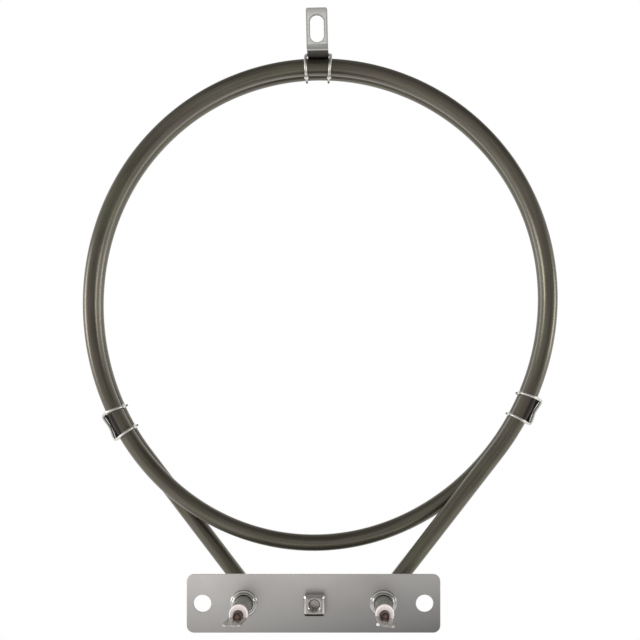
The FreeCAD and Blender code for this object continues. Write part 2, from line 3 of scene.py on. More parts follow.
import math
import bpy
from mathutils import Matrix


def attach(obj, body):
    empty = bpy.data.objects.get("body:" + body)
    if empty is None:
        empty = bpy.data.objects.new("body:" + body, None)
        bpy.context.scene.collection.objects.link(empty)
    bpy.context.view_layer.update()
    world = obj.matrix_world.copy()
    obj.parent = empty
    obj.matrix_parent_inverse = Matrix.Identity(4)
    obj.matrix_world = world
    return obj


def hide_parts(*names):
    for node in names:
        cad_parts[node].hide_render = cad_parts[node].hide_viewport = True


bl_info = {
    "name": "Round Oven Element",
    "version": (1, 0, 0),
    "blender": (4, 5, 0),
    "location": "3D View > Sidebar > Element",
    "description": "Builds the finished surfaces of a round fan-oven heating element",
    "category": "Object",
}

from functools import partial

import bpy
from bpy.props import FloatProperty, FloatVectorProperty, IntProperty, PointerProperty
from mathutils import Matrix, Vector

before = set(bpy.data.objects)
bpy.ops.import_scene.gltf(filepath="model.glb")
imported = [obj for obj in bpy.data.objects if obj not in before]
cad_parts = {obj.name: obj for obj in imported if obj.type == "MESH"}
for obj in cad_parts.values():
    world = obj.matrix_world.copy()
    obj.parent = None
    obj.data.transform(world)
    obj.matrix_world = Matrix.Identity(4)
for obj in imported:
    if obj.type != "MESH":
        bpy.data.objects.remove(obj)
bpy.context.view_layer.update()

BODY = "root"
OUTWARD = Vector((0, -1, 0))
SIDES = {"left": -1, "right": 1}

# Angles in degrees
FULL_TURN = 360.0
BOTTOM_ANGLE = 270.0
LEAVING_RANGE = (270.0, 359.0)
HUG_STEP = 36.0
LEG_BEND_STEP = 5.0
WIRE_BEND_STEP = 9.0
PROFILE_BEND_STEP = 18.0
TAB_LEAN = 1.2
FLAT_ANGLE = 1
EDGE_ANGLE = 35
THREAD_ANGLE = 40

# The smallest turn of a path that is rounded, in radians
LEAST_TURN = 1e-6

# Counts, parts of a bevel's width and the numbers of a hook's corners
SEARCH_STEPS = 50
NUT_SEGMENTS = 96
COLLAR_SEGMENTS = 96
BEAD_SEGMENTS = 72
WIRE_SIDES = 16
STRIP_SPANS = 4
ROWS_IN_PITCH = 10
BEVEL_SEGMENTS = 3
WELD_PARTS = 20
REAR_CORNERS = (4, 5, 6)

# Fine sizes in metres
FIT_GAP = 0.00005
TUBE_GAP = 0.0001
TOP_LIFT = 0.00008
MOUTH_DEPTH = 0.003
NUT_SOFTNESS = 0.00015
COUNTERSINK = 0.00045
COLLAR_ROUNDS = (0.0001, 0.0002, 0.0, 0.0, 0.0, 0.0001, 0.0004, 0.00015, 0.00038, 0.00035)
BEAD_EDGE = 0.0002
BORE_EDGE = 0.00022
TERMINAL_ROUND = 0.00012
STRIP_BEND = 0.0006
STRIP_LIP = 0.0002
WAIST_DEPTH = 0.001
WAIST_CURVE = 0.006
WAIST_BEND = 0.0011
GROOVE_RISE = 0.0012
GROOVE_BEND = 0.0012
NIP_RADIUS = 0.00038
PRESSED_HALF_WIDTH = 0.00095
SLOT_HEIGHT = 0.01075
SLOT_STRAIGHT = 0.0051

# Shares: of the tube's wall, of the waist's dip, of the wire's distance from the tube's middle,
# of a leg's bulge at each corner, of the groove's depth, of the nut's softness and of a thread's form
RIM_SHARE = 0.3
CURL_SHARE = 0.9
FRONT_BENDS = (0.6, 0.998, 0.998, 0.998, 0.998, 0.7)
REAR_BEND = 0.7
BULGE_SHARES = (0.3, 1.0, 1.0, 0.6, 0.15) + (0.0,) * 6
PRESSED_MIDDLE = 0.2
PRESSED_REACH = 0.55
NIP_START = 0.6
NUT_EASE = 0.4
THREAD_TOP = 1.25
THREAD_SLOPE = 5.0

# Where marks, painted shade and painted highlights begin and end in metres: along the tube or wire,
# beside a clip, on the tab and round a terminal
COLD_END = (0.0175, 0.021)
SHADED_END = (0.005, 0.0058)
SHADED_BREAK = ((0.0122, 0.0125), (0.0129, 0.0132))
FAINT_SHADED_BREAK = ((0.014, 0.0143), (0.0145, 0.0148))
SHADED_WAIST = (0.0215, 0.0235)
BETWEEN_LEGS = (0.0042, 0.0048)
SIDE_FLANK = (0.0001, 0.0012)
TOP_FLANK = (0.0018, 0.003)
TAB_FOOT = (0.2092, 0.2097)
TAB_BEND = (0.0028, 0.003)
BEND_HIGHLIGHT = ((0.00125, 0.0014), (0.0024, 0.0027))
LEAF_SHADE = (0.0024, 0.0028)
TAB_SIDE = (0.0034, 0.0037)
TAB_TOP = (0.0045, 0.0085)
SLOT_RIM = (0.0028, 0.0031)
BEAD_STAIN = (0.00135, 0.0021)
PIN_RING = (0.0006, 0.00095)

# How fast the plate's painted shade grows in a metre, and the scale of a sheet's grain along X, Y and Z
SHADE_ACROSS = 4.36
SHADE_DOWN = 26.8
ALONG_PLATE = (0.03, 1.0, 1.0)
ALONG_TAB = (1.0, 1.0, 0.05)

# The camera: its sensor in millimetres and where its view starts in metres
SENSOR_WIDTH = 36.0
VIEW_START = 0.01

# The floor and surroundings that metal mirrors: levels, then ranges in metres and of a direction's parts
FLOOR_FALL = 1.5
FLOOR_LEAST = 0.07
SHADE_SQUASH = 0.6
FLOOR_REACH = 0.12
SHADE_RANGE = (0.045, 0.12)
NEAR_FLOOR = (-0.27, -0.15)
BEHIND = (-0.1, 0.35)
OVERHEAD = (0.4, 0.75)


# Properties

def described(kind, description, default, **traits):
    """A setting that named() makes into a property."""
    return kind, {"description": description, "default": default, **traits}


def angle(description, degrees):
    return described(FloatProperty, description, math.radians(degrees), subtype="ANGLE")


number = partial(described, FloatProperty)
whole_number = partial(described, IntProperty)
length = partial(described, FloatProperty, unit="LENGTH", precision=5)
share = partial(described, FloatProperty, subtype="FACTOR", min=0.0, max=1.0)
colour = partial(described, FloatVectorProperty, subtype="COLOR", size=3, min=0.0, max=1.0)
position = partial(described, FloatVectorProperty, subtype="TRANSLATION", unit="LENGTH", size=3,
                   precision=4)


def named(group):
    """Make a group's settings into properties, each named after itself."""
    for name, (kind, traits) in group.__annotations__.items():
        group.__annotations__[name] = kind(name=name.replace("_", " ").capitalize(), **traits)
    return group


def settings(name):
    """One of the scene's groups of settings."""
    return getattr(bpy.context.scene, f"element_{name}")


@named
class ElementCoil(bpy.types.PropertyGroup):
    """Sizes of the bent tube's line."""

    tube_radius: length("Outside radius of the metal tube", 0.0032)
    mouth_radius: length("Inside radius of the tube at its mouths", 0.0027)
    mean_radius: length("Mean radius of the coil", 0.0902)
    oval: length("How far the coil is from round as an oval", 0.0019)
    oval_direction: angle("Direction of the oval's long axis", 80.5)
    pear: length("How far the coil is from round as a pear", 0.0005)
    pear_direction: angle("Direction of the pear's blunt corner", 19.2)
    pitch: length("Depth gained in one turn", 0.0069)
    offset: length("Sideways place of the coil's centre", 0.0015)
    height: length("Height of the coil's centre above the terminals", 0.1129)
    terminal_spacing: length("Distance between the two legs at the plate", 0.0522)
    bend_radius: length("Radius of the bend behind the plate", 0.008)
    plate_gap: length("Depth at which the front leg's bend ends", 0.0013)
    stub: length("Length of the legs in front of the plate", 0.018)
    step: angle("Angle between two sections of the coil", 1.0)
    section: whole_number("Corners of the tube's section", 40, min=12)


@named
class ElementDetails(bpy.types.PropertyGroup):
    """Sizes of the plate's fittings, the terminals and the wire clips."""

    plate_thickness: length("Thickness of the mounting plate", 0.001)
    edge_round: length("Rounding of the pressed parts' edges", 0.00018)
    tab_round: length("Rounding of the tab's edges", 0.0003)
    collar_radius: length("Outside radius of the collars' flange", 0.0051)
    collar_flange: length("Thickness of the collars' flange", 0.0006)
    ring_radius: length("Outside radius of the collars' raised ring", 0.00415)
    ring_height: length("Height of the collars' raised ring", 0.0014)
    lip_radius: length("Outside radius of the collars' swaged lip", 0.0045)
    lip_height: length("Height of the collars' swaged lip", 0.0005)
    spigot_radius: length("Radius of the collars in the plate", 0.004)
    nut_width: length("Width across the flats of the square nut", 0.008)
    nut_height: length("Height of the square nut on the plate", 0.0046)
    nut_corner: length("Rounding of the nut's upright corners", 0.0011)
    nut_bevel: length("Bevel round the nut's face", 0.0008)
    nut_shank: length("Radius of the nut's shank in the plate", 0.0033)
    nut_offset: length("Sideways place of the nut", 0.0004)
    thread_inner: length("Radius at the crests of the nut's thread", 0.00207)
    thread_outer: length("Radius at the roots of the nut's thread", 0.0025)
    thread_pitch: length("Pitch of the nut's thread", 0.0008)
    bead_radius: length("Outside radius of the ceramic beads", 0.00335)
    bead_height: length("Height of the beads in front of the tube", 0.002)
    bead_spigot: length("Length of the beads inside the tube", 0.003)
    bead_round: length("Rounding of the beads' rims", 0.0006)
    bead_bore: length("Radius of the beads' bore", 0.00155)
    wire_radius: length("Radius of the clips' wire", 0.00055)
    clip_spacing: length("Distance between the two legs of a clip", 0.0093)
    waist_dip: length("How far a side clip's waist dips", 0.0006)
    strip_thickness: length("Thickness of the strips under the side clips", 0.0008)
    strip_width: length("Width of the strips where a clip's legs don't bulge", 0.0089)
    strip_set_back: length("Depth of the strips' front edge behind the front turn's middle", 0.0005)
    leaf_thickness: length("Thickness of the top bracket", 0.001)
    side_lean: length("How far a side clip's legs close in", 0.00025)
    top_lean: length("How far the top clip's legs close in", 0.00045)
    top_drift: length("Sideways drift of the top clip's ends", -0.00065)
    left_drift: length("Sideways drift of the left clip's ends", 0.0009)
    right_drift: length("Sideways drift of the right clip's ends", 0.0005)
    top_bulge: length("How far the top clip's legs bulge sideways", 0.0003)
    left_bulge: length("How far the left clip's legs bulge sideways", 0.00078)
    right_bulge: length("How far the right clip's legs bulge sideways", 0.00045)
    left_clip: angle("Place of the left clip round the coil", 210.6)
    right_clip: angle("Place of the right clip round the coil", 333.4)
    top_clip: angle("Place of the top clip round the coil", 90.0)


@named
class ElementFinish(bpy.types.PropertyGroup):
    """Colours of the finishes."""

    oxide: colour("Fired oxide of the heated tube", (0.163, 0.151, 0.116))
    oxide_dark: colour("Darker streaks of the heated tube", (0.085, 0.073, 0.052))
    oxide_brown: colour("Browner patches of the heated tube", (0.142, 0.117, 0.098))
    oxide_green: colour("Greener patches of the heated tube", (0.135, 0.142, 0.088))
    # Painted shade on the tube's flank beside the clips and on the wires' ends
    scorch: colour("Scorched marks at the clips", (0.02, 0.015, 0.014))
    oxide_cold: colour("Paler metal of the tube's ends", (0.4, 0.39, 0.34))
    stainless: colour("Rolled stainless sheet", (0.84, 0.815, 0.79))
    stainless_dark: colour("Duller patches of the sheet", (0.72, 0.69, 0.67))
    # Painted shade: how much darker the plate is painted at its lower right corner
    plate_worn: share("How much duller the plate is at its lower right corner", 0.72)
    # Painted highlight along the plate's cut edges
    plate_rim: colour("Bright cut edge of the plate", (0.80, 0.78, 0.75))
    tab: colour("Slotted tab", (0.95, 0.93, 0.90))
    tab_dark: colour("Duller patches of the tab", (0.90, 0.88, 0.84))
    # Painted shade on the tab's edges, outline, slot rim, bend and leaf; also its faint dark specks
    tab_rim: colour("Dull cut edges and leaf of the tab", (0.26, 0.26, 0.24))
    bright: colour("Turned collars", (0.72, 0.70, 0.67))
    zinc: colour("Plated nut", (0.52, 0.48, 0.45))
    ceramic: colour("Fired bead", (0.97, 0.87, 0.84))
    stain: colour("Red-brown stain round the pins", (0.17, 0.045, 0.03))
    pin: colour("Dull pin", (0.13, 0.085, 0.07))
    blade: colour("Plated blade", (0.58, 0.56, 0.53))
    wire: colour("Drawn clip wire", (0.78, 0.76, 0.705))
    # Painted shade on the tab's leaf
    tint: colour("Heat-tinted leaf of the tab", (0.085, 0.075, 0.062))
    strip: colour("Heat-blackened strips under the side clips", (0.035, 0.03, 0.026))
    powder: colour("Pressed magnesia", (0.84, 0.82, 0.78))
    seal: colour("Silicone seal", (0.42, 0.16, 0.11))


@named
class ElementStage(bpy.types.PropertyGroup):
    """Camera, light and floor."""

    camera_place: position("Where the camera stands", (0.0146, -0.4049, 0.0812))
    lens: number("Focal length in millimetres", 60.86)
    shift_x: number("Sideways shift of the view", -0.0508)
    shift_y: number("Upward shift of the view", 0.1039)
    floor_drop: length("Depth of the floor below the terminals", 0.075)
    floor_size: length("Width of the floor", 6.0)
    floor_white: share("Share of plain white in the seen floor", 0.985)
    floor_mirrored: number("Level of the floor that metal mirrors", 1.05)
    floor_front: number("That level in front of the plate", 0.64)
    soft_light: number("Level of the light from all round", 0.85)
    front_light: number("Mirrored level in front", 0.46)
    side_fall: number("Fall of that level to the right", 0.24)
    back_light: number("Mirrored level behind", 1.0)
    top_fall: share("Share of the mirrored level that is lost overhead", 0.65)
    lamp_width: length("Width of the two lamps", 0.2)
    lamp_height: length("Height of the two lamps", 0.28)
    left_lamp: position("Where the left lamp hangs", (-0.76, -0.16, 0.13))
    right_lamp: position("Where the right lamp hangs", (0.78, -0.16, 0.13))
    lamp_target: position("Where both lamps point", (0.0, 0.0, 0.1))
    left_power: number("Power of the left lamp", 1.75, subtype="POWER")
    right_power: number("Power of the right lamp", 1.35, subtype="POWER")


# Shader maths

class Field:
    """A value that changes over a surface, written with the usual operators."""

    def __init__(self, finish, socket):
        self.finish = finish
        self.socket = socket

    def maths(self, operation, *others):
        return self.finish.maths(operation, self, *others)

    def __add__(self, other):
        return self.maths("ADD", other)

    __radd__ = __add__

    def __mul__(self, other):
        return self.maths("MULTIPLY", other)

    __rmul__ = __mul__

    def __sub__(self, other):
        return self.maths("SUBTRACT", other)

    def __rsub__(self, other):
        return self.finish.maths("SUBTRACT", other, self)

    def __abs__(self):
        return self.maths("ABSOLUTE")

    def least(self, other):
        return self.maths("MINIMUM", other)

    def most(self, other):
        return self.maths("MAXIMUM", other)

    def slanted(self, other):
        """Length of the slanting side over this field and another."""
        return (self * self + other * other).maths("SQRT")

    def above(self, low, high):
        """0 below low, 1 above high and smooth in between."""
        node = self.finish.node("ShaderNodeMapRange", {"interpolation_type": "SMOOTHSTEP"},
                                {"Value": self, "From Min": low, "From Max": high})
        return Field(self.finish, node.outputs["Result"])

    def below(self, low, high):
        """1 below low, 0 above high and smooth in between."""
        return 1.0 - self.above(low, high)

    def within(self, rise, fall):
        """1 from the end of one range to the start of the other, and smooth in both."""
        return self.above(*rise) * self.below(*fall)


class Nodes:
    """The shader nodes of a material or of the surroundings."""

    def __init__(self, owner):
        owner.use_nodes = True
        self.tree = owner.node_tree
        self.tree.nodes.clear()

    def node(self, kind, traits, inputs):
        """Add a node: its settings first, then the values or links of its sockets."""
        node = self.tree.nodes.new(kind)
        for name, value in traits.items():
            setattr(node, name, value)
        for key, value in inputs.items():
            self.feed(node.inputs[key], value)
        return node

    def feed(self, socket, value):
        if isinstance(value, Field):
            self.tree.links.new(value.socket, socket)
        elif isinstance(value, bpy.types.NodeSocket):
            self.tree.links.new(value, socket)
        elif socket.type == "RGBA" and len(value) == 3:
            socket.default_value = (*value, 1.0)
        else:
            socket.default_value = value

    def maths(self, operation, *values):
        node = self.node("ShaderNodeMath", {"operation": operation}, dict(enumerate(values)))
        return Field(self, node.outputs[0])

    def vector_maths(self, operation, first, second):
        return self.node("ShaderNodeVectorMath", {"operation": operation}, {0: first, 1: second}).outputs

    def scaled(self, vector, factors):
        return self.vector_maths("MULTIPLY", vector, factors)[0]

    def moved(self, vector, origin):
        return self.vector_maths("SUBTRACT", vector, origin)[0]

    def dot(self, vector, direction):
        return Field(self, self.vector_maths("DOT_PRODUCT", vector, direction)["Value"])

    def parts(self, vector, *axes):
        """A vector's parts on some axes: 0 is X, 1 is Y and 2 is Z."""
        node = self.node("ShaderNodeSeparateXYZ", {}, {0: vector})
        return [Field(self, node.outputs[axis]) for axis in axes]

    def coordinates(self, kind):
        return self.node("ShaderNodeTexCoord", {}, {}).outputs[kind]

    def place(self):
        """Place in the object's own frame."""
        return self.coordinates("Object")

    def along_tube(self):
        """Place round and along a swept tube: two across it and the third along it."""
        return self.node("ShaderNodeAttribute", {"attribute_name": "run"}, {}).outputs["Vector"]

    def noise(self, vector, scale, detail=4.0, roughness=0.55):
        node = self.node("ShaderNodeTexNoise", {"noise_dimensions": "3D"},
                         {"Vector": vector, "Scale": scale, "Detail": detail, "Roughness": roughness})
        return Field(self, node.outputs["Fac"])

    def cells(self, vector, scale):
        node = self.node("ShaderNodeTexVoronoi", {"feature": "F1"}, {"Vector": vector, "Scale": scale})
        return Field(self, node.outputs["Distance"])

    def blend(self, factor, first, second):
        """Mix two colours by a field."""
        node = self.node("ShaderNodeMix", {"data_type": "RGBA"}, {0: factor, 6: first, 7: second})
        return node.outputs[2]

    def facing(self, *axes):
        """How squarely the surface faces some of the object's own axes, from 0 to 1."""
        return [abs(part) for part in self.parts(self.coordinates("Normal"), *axes)]

    def sharpness(self):
        """Bright on outward edges, dark in corners."""
        return Field(self, self.node("ShaderNodeNewGeometry", {}, {}).outputs["Pointiness"])

    def rays(self):
        """1 for what the camera sees, and 1 for what the object mirrors or lets through."""
        path = self.node("ShaderNodeLightPath", {}, {})
        camera, mirrored, through = (Field(self, path.outputs[name]) for name in
                                     ("Is Camera Ray", "Is Glossy Ray", "Is Transmission Ray"))
        return camera, mirrored + through


class Finish(Nodes):
    """A procedural material with one Principled shader."""

    def __init__(self, name, roughness, metallic=0.0):
        self.material = bpy.data.materials.new(name)
        super().__init__(self.material)
        self.shader = self.node("ShaderNodeBsdfPrincipled", {},
                                {"Roughness": roughness, "Metallic": metallic})
        self.out = self.node("ShaderNodeOutputMaterial", {}, {"Surface": self.shader.outputs["BSDF"]})

    def give(self, name, value):
        """Feed one of the shader's inputs."""
        self.feed(self.shader.inputs[name], value)

    def colour(self, value):
        self.give("Base Color", value)

    def cover(self, factor, value):
        """Lay a colour over the one so far, as thickly as a field says."""
        so_far = self.shader.inputs["Base Color"].links[0].from_socket
        self.colour(self.blend(factor, so_far, value))

    def roughness(self, value):
        self.give("Roughness", value)

    def bump(self, height, distance, strength):
        node = self.node("ShaderNodeBump", {},
                         {"Strength": strength, "Distance": distance, "Height": height})
        self.give("Normal", node.outputs["Normal"])


# Finishes

def toned(value, factor):
    """A colour made darker, or brighter up to white."""
    return tuple(min(1.0, part * factor) for part in value)


def tube_finish(paint):
    """Dark fired oxide with lines along the tube, painted shade beside the clips, and paler at its ends."""
    finish = Finish("fired_tube", 0.4, 0.8)
    run = finish.along_tube()
    drawn = finish.noise(finish.scaled(run, (1.0, 1.0, 0.012)), 2600.0, 3.0)
    bands = finish.noise(finish.scaled(run, (1.0, 1.0, 0.05)), 420.0, 3.0)
    cloud = finish.noise(finish.scaled(run, (1.0, 1.0, 0.35)), 90.0, 5.0, 0.6)
    hue = finish.noise(finish.scaled(run, (0.6, 0.6, 0.2)), 150.0, 3.0)
    specks = finish.noise(run, 5200.0, 2.0)
    streaks = (drawn * 0.55 + bands * 0.45).above(0.38, 0.64)
    tone = streaks * 0.75 + cloud.above(0.35, 0.7) * 0.25
    finish.colour(finish.blend(tone, paint.oxide_dark, paint.oxide))
    finish.cover(hue.above(0.5, 0.66) * 0.45, paint.oxide_brown)
    finish.cover(hue.below(0.34, 0.48) * 0.4, paint.oxide_green)
    # Painted shade on the front turn's flank beside each clip
    darkening = painted_clip_shade(finish)
    finish.cover(darkening, paint.scorch)
    cold = finish.parts(run, 2)[0].below(*COLD_END)
    finish.cover(cold, finish.blend(streaks, toned(paint.oxide_cold, 0.72), paint.oxide_cold))
    finish.roughness(drawn * 0.14 + cloud * 0.14 + 0.19 + cold * 0.03)
    finish.give("Coat Weight", 0.3 - darkening * 0.3)
    finish.give("Coat Roughness", 0.28)
    finish.bump(drawn * 0.6 + specks * 0.4, 0.00002, 0.5)
    return finish.material


def painted_clip_shade(finish):
    """Painted shade: 1 on the flank of the front turn that a clip's waist shades."""
    details = settings("details")
    place = finish.place()
    darkening = 0.0
    for name, flank in (("left", SIDE_FLANK), ("right", SIDE_FLANK), ("top", TOP_FLANK)):
        clip = coil_frame(getattr(details, f"{name}_clip"))
        offset = finish.moved(place, clip.translation)
        sideways, outward = (finish.dot(offset, clip.col[axis].xyz) for axis in (0, 2))
        darkening = abs(sideways).below(*BETWEEN_LEGS) * outward.above(*flank) + darkening
    return darkening * 0.95


def sheet_finish(name, light, dark, edge_light_and_shade, grain, level, metallic=1.0):
    """Rolled sheet: soft clouds, a faint fine grain along one direction, scratches and painted light on its
    edges.
    """
    finish = Finish(name, level, 1.0)
    place = finish.place()
    rolled = finish.noise(finish.scaled(place, grain), 5200.0, 3.0)
    cloud = finish.noise(place, 34.0, 4.0, 0.5)
    fine = finish.noise(place, 3400.0, 3.0)
    scratched = finish.noise(finish.scaled(place, ALONG_PLATE), 2300.0, 2.0).above(0.68, 0.76)
    tone = (rolled * 0.12 + cloud * 0.7 + fine * 0.18).above(0.36, 0.64)
    edge = (1.0 - finish.facing(1)[0]).above(0.04, 0.3)
    finish.colour(finish.blend(tone, dark, light))
    finish.cover(scratched * 0.1, toned(light, 1.3))
    # Painted light on the edges: a highlight on the plate, shade on the tab's edges and leaf
    finish.cover(edge * 0.85, edge_light_and_shade)
    finish.roughness(rolled * 0.06 + cloud * 0.12 + fine * 0.05 + (level - 0.1) + edge * 0.2)
    finish.give("Metallic", metallic - edge * 0.6 * metallic)
    finish.bump(rolled * 0.6 + fine * 0.4, 0.000006, 0.3)
    return finish


def plate_finish(paint):
    """The plate's sheet, with painted shade darkening it towards its lower right corner."""
    finish = sheet_finish("rolled_plate", paint.stainless, paint.stainless_dark, paint.plate_rim,
                          ALONG_PLATE, 0.36)
    across, up = finish.parts(finish.place(), 0, 2)
    # Painted shade, darker towards the lower right
    shaded = (across * SHADE_ACROSS - up * SHADE_DOWN + 0.5).most(0.0).least(1.0)
    finish.cover(shaded, toned(paint.stainless, 1.0 - paint.plate_worn))
    return finish.material


def tab_finish(paint):
    """The tab's sheet with faint dark specks, painted shade on its outline, slot rim, bend and leaf, and a
    painted highlight across its bend.
    """
    finish = sheet_finish("rolled_tab", paint.tab, paint.tab_dark, paint.tab_rim, ALONG_TAB, 0.38, 0.66)
    place = finish.place()
    deep, up = finish.parts(place, 1, 2)
    low = up.below(*TAB_FOOT)
    finish.cover(finish.noise(place, 1300.0, 3.0).above(0.46, 0.62) * 0.22, paint.tab_rim)
    # Painted shade along the tab's outline and round its slot
    finish.cover(tab_outline_shade(finish, place) * 0.6, paint.tab_rim)
    # Painted shade across the tab's bend
    finish.cover(low * deep.below(*TAB_BEND) * 0.72, paint.tab_rim)
    # Painted highlight: a bright line along the bend
    finish.cover(deep.within(*BEND_HIGHLIGHT) * 0.45, paint.tab)
    # Painted shade on the tab's leaf
    finish.cover(low * deep.above(*LEAF_SHADE) * 0.97, paint.tint)
    return finish.material


def tab_outline_shade(finish, place):
    """Painted shade: 1 along the tab's outline and round its slot, fading in towards its top."""
    top = coil_frame(settings("details").top_clip).translation
    rise, aside = (turned(math.radians(TAB_LEAN)) for turned in (math.cos, math.sin))
    heart = (top.x - aside * SLOT_HEIGHT, 0.0, top.z + rise * SLOT_HEIGHT)
    offset = finish.moved(place, heart)
    across = abs(finish.dot(offset, (rise, 0.0, aside)))
    over = finish.dot(offset, (-aside, 0.0, rise))
    past = (abs(over) - SLOT_STRAIGHT / 2).most(0.0)
    outline = across.above(*TAB_SIDE).most(over.above(*TAB_TOP))
    return outline.most(across.slanted(past).below(*SLOT_RIM))


def collar_finish(paint):
    """Bright turned steel with fine rings round each collar and painted shade in the corners."""
    finish = Finish("turned_steel", 0.2, 1.0)
    place = finish.place()
    rings = finish.noise(finish.scaled(place, (0.06, 1.0, 0.06)), 5200.0, 3.0)
    cloud = finish.noise(place, 240.0, 4.0)
    base = finish.blend(cloud.above(0.35, 0.7), toned(paint.bright, 0.72), paint.bright)
    # Painted shade in the corners, where pointiness is low
    finish.colour(finish.blend(finish.sharpness().above(0.40, 0.5), toned(paint.bright, 0.35), base))
    finish.roughness(rings * 0.12 + cloud * 0.12 + 0.1)
    finish.bump(rings, 0.00002, 0.4)
    return finish.material


def zinc_finish(paint):
    """Plated nut: soft spangle, dull pits, painted highlights on its upper edges and painted shade below.
    """
    finish = Finish("zinc_plate", 0.3, 1.0)
    place = finish.place()
    spangle = finish.cells(place, 1500.0)
    cloud = finish.noise(place, 420.0, 4.0)
    pits = finish.noise(place, 3800.0, 3.0).above(0.6, 0.75)
    across, square_on, up = finish.facing(0, 1, 2)
    slant = 1.0 - across.most(square_on).most(up)
    upward = finish.parts(finish.coordinates("Normal"), 2)[0]
    tone = (spangle * 0.8 + cloud * 0.6).above(0.4, 1.0)
    finish.colour(finish.blend(tone, toned(paint.zinc, 0.8), paint.zinc))
    # Painted shade on downward faces
    finish.cover(upward.below(-0.75, -0.35) * 0.5, toned(paint.zinc, 0.4))
    # Painted highlight on the slanting edges that face up or sideways
    finish.cover(slant.above(0.05, 0.25) * upward.above(-0.3, 0.2) * 0.8, toned(paint.zinc, 2.2))
    finish.roughness(cloud * 0.16 + pits * 0.1 + 0.2)
    finish.bump(cloud - pits * 0.4, 0.000006, 0.4)
    return finish.material


def off_terminal(finish, place):
    """Sideways and upward distance from the nearer terminal's middle."""
    across, up = finish.parts(place, 0, 2)
    return abs(across) - settings("coil").terminal_spacing / 2, up


def bead_finish(paint):
    """Fired ceramic: warm white, grained, with a red-brown stain round the pin."""
    finish = Finish("fired_ceramic", 0.5, 0.0)
    place = finish.place()
    cloud = finish.noise(place, 520.0, 4.0)
    grain = finish.noise(place, 3200.0, 4.0)
    across, up = off_terminal(finish, place)
    ragged = across.slanted(up) + (cloud - 0.5) * 0.0012 + up * 0.22
    finish.colour(finish.blend(cloud.above(0.3, 0.7), toned(paint.ceramic, 0.93), paint.ceramic))
    finish.cover(ragged.below(*BEAD_STAIN) * 0.9, paint.stain)
    finish.roughness(grain * 0.2 + 0.4)
    finish.bump(grain * 0.6 + cloud * 0.4, 0.00004, 0.5)
    return finish.material


def pin_finish(paint):
    """Dull pins: a paler middle, a dark ring and red-brown stains."""
    finish = Finish("dull_pin", 0.45, 0.6)
    place = finish.place()
    cloud = finish.noise(place, 900.0, 5.0, 0.6)
    across, up = off_terminal(finish, place)
    radius = across.slanted(up) + (cloud - 0.5) * 0.0005
    finish.colour(finish.blend(cloud.above(0.35, 0.65), paint.pin, toned(paint.pin, 3.2)))
    finish.cover(radius.above(*PIN_RING) * 0.85, toned(paint.pin, 0.35))
    finish.roughness(cloud * 0.25 + 0.3)
    finish.bump(cloud, 0.00006, 0.6)
    return finish.material


def dull_finish(name, value, metallic, level, scale):
    """A dull surface with clouds and specks."""
    finish = Finish(name, level, metallic)
    place = finish.place()
    cloud = finish.noise(place, scale, 5.0, 0.6)
    specks = finish.noise(place, scale * 9.0, 2.0)
    finish.colour(finish.blend(cloud.above(0.35, 0.68), toned(value, 0.75), value))
    finish.roughness(cloud * 0.22 + specks * 0.1 + (level - 0.16))
    finish.bump(cloud * 0.6 + specks * 0.4, 0.00003, 0.5)
    return finish.material


def wire_finish(paint):
    """Drawn wire, cream-bright with dull stretches and fine nicks, and painted shade at two breaks, along
    its waist and at its ends.
    """
    finish = Finish("drawn_wire", 0.4, 0.9)
    run = finish.along_tube()
    along = finish.parts(run, 2)[0]
    drawn = finish.noise(finish.scaled(run, (1.0, 1.0, 0.05)), 5200.0, 2.0)
    patches = finish.noise(run, 1300.0, 3.0, 0.6)
    nicks = finish.noise(run, 3100.0, 2.0).above(0.62, 0.72)
    tone = (patches * 0.7 + drawn * 0.3).above(0.38, 0.62)
    # Fine nicks, and painted shade at two breaks where the wire dips towards the groove
    darkening = nicks * 0.3 + along.within(*SHADED_BREAK) * 0.9 + along.within(*FAINT_SHADED_BREAK) * 0.5
    finish.colour(finish.blend(tone, toned(paint.wire, 0.82), paint.wire))
    finish.cover(darkening.least(1.0), toned(paint.wire, 0.25))
    # Painted shade along the wire's waist
    finish.cover(along.above(*SHADED_WAIST) * 0.3, toned(paint.wire, 0.3))
    # Painted shade on the wire's last few millimetres at each end
    finish.cover(along.below(*SHADED_END) * 0.92, paint.scorch)
    finish.roughness(patches * 0.16 + 0.32)
    finish.bump(patches * 0.4 + drawn * 0.6, 0.000015, 0.4)
    return finish.material


# Meshes

def new_mesh(name, vertices, faces):
    mesh = bpy.data.meshes.new(name)
    mesh.from_pydata(vertices, [], faces)
    return mesh


def new_object(data):
    """Put a mesh, lamp or camera in the scene under its own name."""
    thing = bpy.data.objects.new(data.name, data)
    bpy.context.scene.collection.objects.link(thing)
    return thing


def add_piece(mesh, material, slot, *replaced):
    """Put a mesh in the scene as a piece of the object."""
    piece = new_object(mesh)
    mesh.materials.append(material)
    for face in mesh.polygons:
        face.use_smooth = True
    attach(piece, BODY)
    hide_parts(*replaced)
    return piece


def rounded_path(corners, radii, turn_step):
    """Points of a polyline whose corners are rounded by arcs of the given radii."""
    points = [corners[0]]
    for before, here, after, radius in zip(corners, corners[1:], corners[2:], radii):
        arriving = (here - before).normalized()
        leaving = (after - here).normalized()
        turn = arriving.angle(leaving)
        if turn < LEAST_TURN or radius <= 0:
            points.append(here)
            continue
        setback = radius * math.tan(turn / 2)
        axis = arriving.cross(leaving).normalized()
        centre = here - arriving * setback + axis.cross(arriving) * radius
        spoke = here - arriving * setback - centre
        count = max(2, math.ceil(turn / math.radians(turn_step)))
        points += [centre + Matrix.Rotation(turn * k / count, 3, axis) @ spoke for k in range(count + 1)]
    points.append(corners[-1])
    return points


